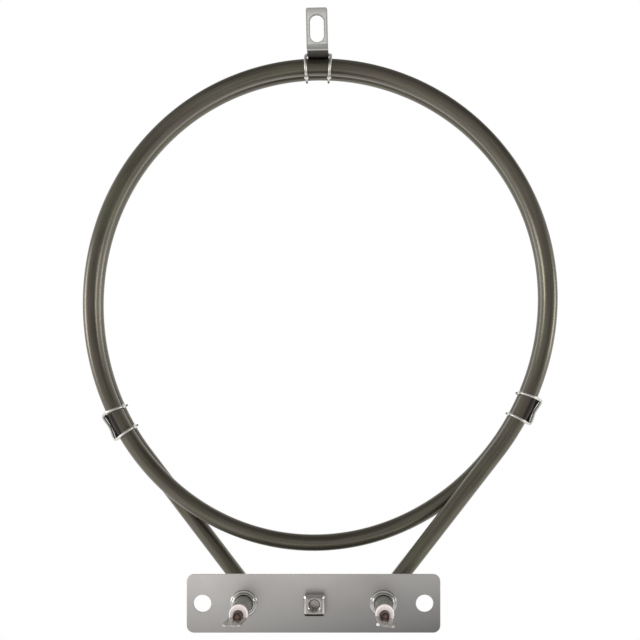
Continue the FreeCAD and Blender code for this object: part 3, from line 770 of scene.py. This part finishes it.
def rounded_profile(corners, radii):
    """A closed profile with rounded corners, as (radius, depth) pairs."""
    flat = [Vector((radius, depth, 0)) for radius, depth in corners]
    points = []
    for before, here, after, radius in zip(flat[-1:] + flat, flat, flat[1:] + flat[:1], radii):
        points += rounded_path([before, here, after], [radius], PROFILE_BEND_STEP)[1:-1]
    return [(point.x, point.y) for point in points]


def band_faces(rings, count, wrapped=False):
    """Faces from each ring of vertices to the next, and from the last to the first if wrapped."""
    faces = []
    for row in range(rings if wrapped else rings - 1):
        here, there = row * count, (row + 1) % rings * count
        for k in range(count):
            after = (k + 1) % count
            faces.append((here + k, here + after, there + after, there + k))
    return faces


def closed_faces(rings, count):
    """Faces from ring to ring, and one over the first and the last ring."""
    last = (rings - 1) * count
    return band_faces(rings, count) + [tuple(range(count))[::-1], tuple(range(last, last + count))]


def swept_mesh(name, points, radii, sides, wide_axis=None, widths=None):
    """A tube along points with a radius at each, closed at its ends and widened along one axis if asked.

    Each vertex carries its place round the run and its distance from the nearer end.
    """
    lengths = [0.0]
    for here, there in zip(points, points[1:]):
        lengths.append(lengths[-1] + (there - here).length)
    tangents = [(after - before).normalized()
                for before, after in zip(points[:1] + points, points[1:] + points[-1:])]
    side = tangents[0].orthogonal().normalized()
    vertices, runs = [], []
    for k, (point, tangent) in enumerate(zip(points, tangents)):
        if k:
            side = tangents[k - 1].rotation_difference(tangent) @ side
            side = (side - tangent * side.dot(tangent)).normalized()
        other = tangent.cross(side)
        along = min(lengths[k], lengths[-1] - lengths[k])
        for n in range(sides):
            turn = 2 * math.pi * n / sides
            spoke = (side * math.cos(turn) + other * math.sin(turn)) * radii[k]
            if wide_axis:
                spoke += wide_axis * spoke.dot(wide_axis) * (widths[k] - 1.0)
            vertices.append(point + spoke)
            runs += [math.cos(turn) * radii[k], math.sin(turn) * radii[k], along]
    mesh = new_mesh(name, vertices, closed_faces(len(points), sides))
    mesh.attributes.new("run", "FLOAT_VECTOR", "POINT").data.foreach_set("vector", runs)
    return mesh


def add_turned(kind, profile, segments, material, slot, node):
    """Turn a closed profile of (radius, depth) about each terminal's axis."""
    faces = band_faces(segments, len(profile), wrapped=True)
    for name, side in SIDES.items():
        place = side * settings("coil").terminal_spacing / 2
        vertices = []
        for n in range(segments):
            turn = 2 * math.pi * n / segments
            vertices += [(place + radius * math.cos(turn), depth, radius * math.sin(turn))
                         for radius, depth in profile]
        add_piece(new_mesh(f"{name}_{kind}", vertices, faces), material, slot, f"{name}_{node}")


def dress(node, material, bevel=0.0):
    """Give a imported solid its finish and, if asked, fine rounded edges."""
    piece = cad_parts[node]
    piece.data.materials.clear()
    piece.data.materials.append(material)
    if bevel:
        soften(piece, bevel)


def soften(piece, bevel):
    """Round a flat-sided piece's edges finely."""
    weld = piece.modifiers.new("weld", "WELD")
    weld.merge_threshold = bevel / WELD_PARTS
    flat = piece.modifiers.new("flat_faces", "DECIMATE")
    flat.decimate_type = "DISSOLVE"
    flat.angle_limit = math.radians(FLAT_ANGLE)
    rounding = piece.modifiers.new("rounding", "BEVEL")
    rounding.width = bevel
    rounding.segments = BEVEL_SEGMENTS
    rounding.limit_method = "ANGLE"
    rounding.angle_limit = math.radians(EDGE_ANGLE)
    rounding.harden_normals = True


# The tube's line

def coil_point(travel, depth):
    """Point and direction on the coil by the degrees travelled from the bottom arc's middle."""
    coil = settings("coil")
    turn = math.radians(BOTTOM_ANGLE + travel)
    oval = 2 * (turn - coil.oval_direction)
    pear = 3 * (turn - coil.pear_direction)
    radius = coil.mean_radius + coil.oval * math.cos(oval) + coil.pear * math.cos(pear)
    slope = -2 * coil.oval * math.sin(oval) - 3 * coil.pear * math.sin(pear)
    out = Vector((math.cos(turn), 0, math.sin(turn)))
    along = Vector((-math.sin(turn), 0, math.cos(turn)))
    rise = Vector((0, coil.pitch, 0))
    point = Vector((coil.offset, depth, coil.height)) + out * radius + rise * (travel / FULL_TURN)
    direction = (out * slope + along * radius + rise / (2 * math.pi)).normalized()
    return point, direction


def leaving_travel(side):
    """Travel at which the coil's tangent meets the terminal on one side: 1 is left, -1 right."""
    terminal = -side * settings("coil").terminal_spacing / 2

    def miss(travel):
        point, direction = coil_point(side * travel, 0)
        return (terminal - point.x) * direction.z + point.z * direction.x

    low, high = LEAVING_RANGE
    low_miss = miss(low)
    for _ in range(SEARCH_STEPS):
        middle = (low + high) / 2
        if miss(middle) * low_miss > 0:
            low = middle
        else:
            high = middle
    return side * (low + high) / 2


def leg_corner(side, depth):
    """Corner of a leg behind the plate and the leg's direction away from the coil."""
    point, direction = coil_point(leaving_travel(side), depth)
    direction = direction * side
    terminal = -side * settings("coil").terminal_spacing / 2
    return point + direction * ((terminal - point.x) / direction.x), direction


def coil_depth():
    """Depth of the bottom arc at which the front leg's bend ends just behind the plate."""
    coil = settings("coil")
    corner, direction = leg_corner(-1, 0)
    setback = coil.bend_radius * math.tan(direction.angle(OUTWARD) / 2)
    return coil.plate_gap + setback - corner.y


def tube_path():
    """Points of the tube's middle line from the right mouth to the left one."""
    coil = settings("coil")
    depth = coil_depth()
    first = leaving_travel(-1)
    last = leaving_travel(1)
    steps = round((last - first) / math.degrees(coil.step))
    wound = [coil_point(first + (last - first) * k / steps, depth)[0] for k in range(steps + 1)]
    ends = []
    for side, start in ((-1, wound[0]), (1, wound[-1])):
        corner = leg_corner(side, depth)[0]
        mouth = Vector((corner.x, -coil.stub, 0))
        near = mouth + Vector((0, coil.stub / 2, 0))
        leg = rounded_path([mouth, near, corner, start], [0, coil.bend_radius], LEG_BEND_STEP)
        ends.append(leg[:-1])
    return ends[0] + wound + ends[1][::-1]


def coil_frame(turn):
    """Matrix of the frame on the front turn: X along the tube, Y into the oven, Z outward."""
    travel = (math.degrees(turn) - BOTTOM_ANGLE) % FULL_TURN - FULL_TURN
    point, direction = coil_point(travel, coil_depth())
    flat = Vector((-direction.x, 0, -direction.z)).normalized()
    out = Vector((-flat.z, 0, flat.x))
    turned = Matrix((flat, Vector((0, 1, 0)), out)).transposed()
    return Matrix.Translation(point) @ turned.to_4x4()


# The clips' wire

def hug_corner(number, hug):
    """Depth and height of one corner of the wire's path round a turn."""
    step = math.radians(HUG_STEP)
    turn = (number + 0.5) * step
    reach = hug / math.cos(step / 2)
    return -reach * math.sin(turn), reach * math.cos(turn)


def clip_leg(side, waist, lean, drift, bulge):
    """Corners and bend radii of one leg: waist, front turn, groove and hook round the rear turn."""
    coil, details = settings("coil"), settings("details")
    half = details.clip_spacing / 2
    hug = coil.tube_radius + details.wire_radius + TUBE_GAP
    sag = half ** 2 / (2 * coil.mean_radius)
    front = [hug_corner(number, hug) for number in range(len(FRONT_BENDS))]
    rear = [hug_corner(number, hug) for number in REAR_CORNERS]
    path = [(WAIST_DEPTH, waist + sag), *front, (coil.pitch / 2, GROOVE_RISE - hug),
            *((coil.pitch + depth, height) for depth, height in rear)]
    bends = [WAIST_BEND, *(hug * part for part in FRONT_BENDS), GROOVE_BEND,
             *[hug * REAR_BEND] * len(rear)]
    last = len(path) - 1
    corners = []
    for k, ((depth, height), part) in enumerate(zip(path, BULGE_SHARES)):
        aside = side * (half + bulge * part - lean * k / last) + drift * k / last
        corners.append(Vector((aside, depth, height - sag)))
    return corners, bends


def wire_section(point):
    """Radius and widening of the wire: pressed wide at the groove and nipped thin on the rear turn."""
    radius = settings("details").wire_radius
    if point.z > 0:
        return radius, 1.0
    groove = settings("coil").pitch / 2
    spread = max(0.0, 1.0 - abs(point.y - groove * PRESSED_MIDDLE) / (groove * PRESSED_REACH))
    nip = min(1.0, max(0.0, point.y / groove - NIP_START))
    return radius + (NIP_RADIUS - radius) * nip, 1.0 + (PRESSED_HALF_WIDTH / radius - 1.0) * spread


# Operators

class ELEMENT_OT_tube(bpy.types.Operator):
    """Sweep the heated tube with its bored mouths"""

    bl_idname = "element.tube"
    bl_label = "Heated Tube"

    def execute(self, context):
        coil = settings("coil")
        points = tube_path()
        rim = (coil.tube_radius - coil.mouth_radius) * RIM_SHARE
        depths = (MOUTH_DEPTH, 0.0, 0.0, rim)
        mouth = [coil.mouth_radius, coil.mouth_radius, coil.tube_radius - rim, coil.tube_radius]
        ends = [[end + Vector((0, depth, 0)) for depth in depths] for end in (points[0], points[-1])]
        radii = mouth + [coil.tube_radius] * (len(points) - 2) + mouth[::-1]
        line = ends[0] + points[1:-1] + ends[1][::-1]
        mesh = swept_mesh("heated_tube", line, radii, coil.section)
        add_piece(mesh, tube_finish(settings("finish")), "sheath", "sheath_tube")
        return {"FINISHED"}


class ELEMENT_OT_sheet(bpy.types.Operator):
    """Finish the mounting plate and the top bracket"""

    bl_idname = "element.sheet"
    bl_label = "Sheet Metal"

    def execute(self, context):
        details, paint = settings("details"), settings("finish")
        dress("mounting_plate", plate_finish(paint), details.edge_round)
        dress("top_bracket", tab_finish(paint), details.tab_round)
        return {"FINISHED"}


class ELEMENT_OT_strips(bpy.types.Operator):
    """Bend the two dark strips under the side clips"""

    bl_idname = "element.strips"
    bl_label = "Clip Strips"

    def execute(self, context):
        coil, details = settings("coil"), settings("details")
        metal = dull_finish("heat_blackened_strip", settings("finish").strip, 0.5, 0.5, 300.0)
        front = details.strip_set_back
        seat = coil.tube_radius + TUBE_GAP
        outside = seat + details.strip_thickness
        rear = coil.pitch + seat
        back = rear + details.strip_thickness
        corners = [(rear, STRIP_LIP), (back, STRIP_LIP), (back, outside), (front, outside), (front, seat),
                   (rear, seat)]
        bends = [0.0, 0.0, STRIP_BEND + details.strip_thickness, 0.0, 0.0, STRIP_BEND]
        profile = rounded_profile(corners, bends)
        lift = details.waist_dip * CURL_SHARE
        spans = [step / STRIP_SPANS for step in range(-STRIP_SPANS, STRIP_SPANS + 1)]
        count = len(profile)
        last = count * (len(spans) - 1)
        faces = [tuple(range(count)), tuple(range(last, last + count))[::-1]]
        faces += [(first, *rest[::-1]) for first, *rest in band_faces(len(spans), count)]
        for name in SIDES:
            place = coil_frame(getattr(details, f"{name}_clip"))
            half = details.strip_width / 2 + getattr(details, f"{name}_bulge")
            vertices = [place @ Vector((side * half, depth, height + lift * side ** 2))
                        for side in spans for depth, height in profile]
            mesh = new_mesh(f"{name}_strip", vertices, faces)
            soften(add_piece(mesh, metal, "strip", f"{name}_clip_strip"), details.edge_round)
        return {"FINISHED"}


class ELEMENT_OT_collars(bpy.types.Operator):
    """Turn the two collars with their rolled rims and swaged lips"""

    bl_idname = "element.collars"
    bl_label = "Collars"

    def execute(self, context):
        details = settings("details")
        bore = settings("coil").tube_radius + FIT_GAP
        plate = details.plate_thickness
        lip = plate + details.lip_height
        flange = -details.collar_flange
        corners = [(bore, lip), (details.lip_radius, lip), (details.lip_radius, plate),
                   (details.spigot_radius, plate), (details.spigot_radius, 0.0),
                   (details.collar_radius, 0.0), (details.collar_radius, flange),
                   (details.ring_radius, flange), (details.ring_radius, -details.ring_height),
                   (bore, -details.ring_height)]
        add_turned("collar", rounded_profile(corners, COLLAR_ROUNDS), COLLAR_SEGMENTS,
                   collar_finish(settings("finish")), "ferrule", "ferrule")
        return {"FINISHED"}


class ELEMENT_OT_nut(bpy.types.Operator):
    """Build the square nut with its bevels, shank and thread"""

    bl_idname = "element.nut"
    bl_label = "Earth Nut"

    def execute(self, context):
        details = settings("details")
        turns = [2 * math.pi * (n + 0.5) / NUT_SEGMENTS for n in range(NUT_SEGMENTS)]
        rays = [Vector((math.cos(turn), math.sin(turn))) for turn in turns]
        half = details.nut_width / 2
        core = half - details.nut_corner

        def circle(radius):
            return [ray * radius for ray in rays]

        def square(inset):
            """Points of the rounded square, one on each ray."""
            ring = []
            for ray in rays:
                point = ray * ((half - inset) / max(abs(ray.x), abs(ray.y)))
                if min(abs(point.x), abs(point.y)) > core:
                    heart = Vector((math.copysign(core, ray.x), math.copysign(core, ray.y)))
                    along = ray.dot(heart)
                    spare = along ** 2 - heart.length_squared + (half - inset - core) ** 2
                    point = ray * (along + math.sqrt(max(spare, 0.0)))
                ring.append(point)
            return ring

        front = -details.nut_height
        bevel = details.nut_bevel
        soft = NUT_SOFTNESS
        mouth = front + COUNTERSINK
        crest = details.thread_inner
        rings = [(circle(details.nut_shank), details.plate_thickness), (circle(details.nut_shank), 0.0),
                 (square(soft), 0.0), (square(0.0), -soft), (square(0.0), front + bevel + soft),
                 (square(soft * NUT_EASE), front + bevel),
                 (square(bevel - soft * NUT_EASE), front + soft), (square(bevel + soft), front),
                 (circle(crest + COUNTERSINK), front),
                 (circle(crest + COUNTERSINK - soft), front + soft / 3)]
        rows = round((-soft - mouth) / details.thread_pitch * ROWS_IN_PITCH)
        for row in range(rows + 1):
            depth = mouth + (-soft - mouth) * row / rows
            fade = min(1.0, row / ROWS_IN_PITCH, (rows - row) / ROWS_IN_PITCH)
            ring = []
            for turn, ray in zip(turns, rays):
                phase = (depth / details.thread_pitch + turn / (2 * math.pi)) % 1.0
                groove = min(1.0, max(0.0, THREAD_TOP - abs(phase - 0.5) * THREAD_SLOPE))
                ring.append(ray * (crest + (details.thread_outer - crest) * groove * fade))
            rings.append((ring, depth))
        rings.append((circle(crest), 0.0))
        vertices = [(details.nut_offset + point.x, depth, point.y)
                    for ring, depth in rings for point in ring]
        mesh = new_mesh("square_nut", vertices, closed_faces(len(rings), NUT_SEGMENTS))
        add_piece(mesh, zinc_finish(settings("finish")), "nut", "earth_nut")
        mesh.set_sharp_from_angle(angle=math.radians(THREAD_ANGLE))
        return {"FINISHED"}


class ELEMENT_OT_beads(bpy.types.Operator):
    """Turn the two ceramic beads"""

    bl_idname = "element.beads"
    bl_label = "Ceramic Beads"

    def execute(self, context):
        coil, details = settings("coil"), settings("details")
        seat = -coil.stub
        front = seat - details.bead_height
        inner = seat + details.bead_spigot
        spigot = coil.mouth_radius - FIT_GAP
        corners = [(details.bead_bore, inner), (spigot, inner), (spigot, seat), (details.bead_radius, seat),
                   (details.bead_radius, front), (details.bead_bore, front)]
        rounds = (0.0, BEAD_EDGE, 0.0, BEAD_EDGE, details.bead_round, BORE_EDGE)
        add_turned("bead", rounded_profile(corners, rounds), BEAD_SEGMENTS,
                   bead_finish(settings("finish")), "bead", "ceramic_bead")
        return {"FINISHED"}


class ELEMENT_OT_terminals(bpy.types.Operator):
    """Finish the pins, blades, seals and powder fillings"""

    bl_idname = "element.terminals"
    bl_label = "Terminals"

    def execute(self, context):
        paint = settings("finish")
        pin = pin_finish(paint)
        blade = dull_finish("plated_blade", paint.blade, 1.0, 0.34, 500.0)
        seal = dull_finish("silicone_seal", paint.seal, 0.0, 0.6, 1200.0)
        powder = dull_finish("pressed_powder", paint.powder, 0.0, 0.85, 2200.0)
        for name in SIDES:
            dress(f"{name}_cold_pin", pin, TERMINAL_ROUND)
            dress(f"{name}_terminal_blade", blade, TERMINAL_ROUND)
            dress(f"{name}_end_seal", seal)
            dress(f"{name}_magnesia_filling", powder)
        return {"FINISHED"}


class ELEMENT_OT_clips(bpy.types.Operator):
    """Bend the three wire clips"""

    bl_idname = "element.clips"
    bl_label = "Wire Clips"

    def execute(self, context):
        details = settings("details")
        metal = wire_finish(settings("finish"))
        base = settings("coil").tube_radius + TUBE_GAP + details.wire_radius + FIT_GAP
        for name in ("top", *SIDES):
            dip, lean = details.waist_dip, details.side_lean
            waist = base + details.strip_thickness + dip
            if name == "top":
                dip, lean = 0.0, details.top_lean
                waist = base + details.leaf_thickness + TOP_LIFT
            turn, drift, bulge = (getattr(details, f"{name}_{kind}") for kind in ("clip", "drift", "bulge"))
            left, left_bends = clip_leg(-1, waist, lean, drift, bulge)
            right, right_bends = clip_leg(1, waist, lean, drift, bulge)
            middle = [Vector((0, WAIST_DEPTH, waist - dip))] if dip else []
            corners = left[::-1] + middle + right
            bends = left_bends[::-1] + [WAIST_CURVE] * len(middle) + right_bends
            line = rounded_path(corners, bends[1:-1], WIRE_BEND_STEP)
            radii, widths = zip(*(wire_section(point) for point in line))
            place = coil_frame(turn)
            mesh = swept_mesh(f"{name}_clip", [place @ point for point in line], radii, WIRE_SIDES,
                              place.col[0].xyz, widths)
            add_piece(mesh, metal, "wire", f"{name}_wire_clip")
        return {"FINISHED"}


class ELEMENT_OT_stage(bpy.types.Operator):
    """Set the camera, the floor, the lamps and the surroundings"""

    bl_idname = "element.stage"
    bl_label = "Stage"

    def execute(self, context):
        scene = context.scene
        stage = settings("stage")
        scene.view_settings.view_transform = "Standard"
        self.set_camera(scene, stage)
        self.lay_floor(stage)
        self.hang_lamps(stage)
        self.paint_surroundings(scene, stage)
        return {"FINISHED"}

    def set_camera(self, scene, stage):
        data = bpy.data.cameras.new("camera")
        data.lens = stage.lens
        data.sensor_width = SENSOR_WIDTH
        data.shift_x = stage.shift_x
        data.shift_y = stage.shift_y
        data.clip_start = VIEW_START
        scene.camera = new_object(data)
        scene.camera.location = stage.camera_place
        scene.camera.rotation_euler = (math.radians(90), 0, 0)

    def lay_floor(self, stage):
        """A pale floor that the camera sees as plain white, with the object's shadow on it."""
        half = stage.floor_size / 2
        corners = [(-half, -half), (half, -half), (half, half), (-half, half)]
        mesh = new_mesh("floor", [(x, y, -stage.floor_drop) for x, y in corners], [(0, 1, 2, 3)])
        floor = new_object(mesh)
        pale = Finish("pale_floor", 0.9)
        place = pale.place()
        pale.colour(pale.blend(pale.noise(place, 60.0), (0.86, 0.86, 0.86), (0.9, 0.9, 0.9)))
        across, ahead = pale.parts(place, 0, 1)
        # What metal mirrors of the floor is a painted glow: darker round the object's middle as a painted
        # shadow, and dimmer to the right in front of the plate
        apart = (across * across * SHADE_SQUASH + ahead * ahead).maths("SQRT")
        fall = across.most(-FLOOR_REACH).least(FLOOR_REACH) * FLOOR_FALL
        plain = stage.floor_mirrored
        level = (stage.floor_front - fall - plain) * ahead.below(*NEAR_FLOOR) + plain
        tone = (apart.above(*SHADE_RANGE) * level).most(FLOOR_LEAST)
        camera, mirrored = pale.rays()
        seen = (camera * stage.floor_white + mirrored).least(1.0)
        white = pale.node("ShaderNodeEmission", {},
                          {"Color": (1.0, 1.0, 1.0), "Strength": camera + (1.0 - camera) * tone})
        mixed = pale.node("ShaderNodeMixShader", {},
                          {0: seen, 1: pale.shader.outputs["BSDF"], 2: white.outputs[0]})
        pale.feed(pale.out.inputs["Surface"], mixed.outputs[0])
        mesh.materials.append(pale.material)

    def hang_lamps(self, stage):
        """Two wide soft lamps, low at the left and right."""
        for name in SIDES:
            place = Vector(getattr(stage, f"{name}_lamp"))
            data = bpy.data.lights.new(f"{name}_lamp", "AREA")
            data.shape = "RECTANGLE"
            data.size = stage.lamp_width
            data.size_y = stage.lamp_height
            data.energy = getattr(stage, f"{name}_power")
            lamp = new_object(data)
            lamp.location = place
            lamp.rotation_euler = (Vector(stage.lamp_target) - place).to_track_quat("-Z", "Y").to_euler()

    def paint_surroundings(self, scene, stage):
        """White behind the object, grey in front and darker overhead, brighter at the left."""
        scene.world = bpy.data.worlds.new("surroundings")
        sky = Nodes(scene.world)
        across, ahead, up = sky.parts(sky.coordinates("Generated"), 0, 1, 2)
        front = stage.front_light - across * stage.side_fall
        level = front + (stage.back_light - front) * ahead.above(*BEHIND)
        level = level * (1.0 - up.above(*OVERHEAD) * stage.top_fall)
        camera, mirrored = sky.rays()
        shown = mirrored.least(1.0)
        strength = camera + (1.0 - camera) * (level * shown + (1.0 - shown) * stage.soft_light)
        background = sky.node("ShaderNodeBackground", {}, {"Color": (1.0, 1.0, 1.0), "Strength": strength})
        sky.node("ShaderNodeOutputWorld", {}, {"Surface": background.outputs[0]})


class ELEMENT_PT_panel(bpy.types.Panel):
    """Lists the steps that build the element's finished surfaces"""

    bl_label = "Round Oven Element"
    bl_idname = "ELEMENT_PT_panel"
    bl_space_type = "VIEW_3D"
    bl_region_type = "UI"
    bl_category = "Element"

    def draw(self, context):
        column = self.layout.column()
        for step in STEPS:
            column.operator(step.bl_idname)
        for name, group in GROUPS.items():
            for prop in group.__annotations__:
                column.prop(getattr(context.scene, name), prop)


STEPS = (ELEMENT_OT_stage, ELEMENT_OT_tube, ELEMENT_OT_sheet, ELEMENT_OT_strips, ELEMENT_OT_collars,
         ELEMENT_OT_nut, ELEMENT_OT_beads, ELEMENT_OT_terminals, ELEMENT_OT_clips)
GROUPS = {"element_coil": ElementCoil, "element_details": ElementDetails,
          "element_finish": ElementFinish, "element_stage": ElementStage}


def register():
    for kind in (*GROUPS.values(), *STEPS, ELEMENT_PT_panel):
        bpy.utils.register_class(kind)
    for name, group in GROUPS.items():
        setattr(bpy.types.Scene, name, PointerProperty(type=group))


def unregister():
    for name in GROUPS:
        delattr(bpy.types.Scene, name)
    for kind in reversed((*GROUPS.values(), *STEPS, ELEMENT_PT_panel)):
        bpy.utils.unregister_class(kind)


def main():
    """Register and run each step."""
    register()
    for step in STEPS:
        group, name = step.bl_idname.split(".")
        getattr(getattr(bpy.ops, group), name)()


if __name__ == "__main__":
    main()
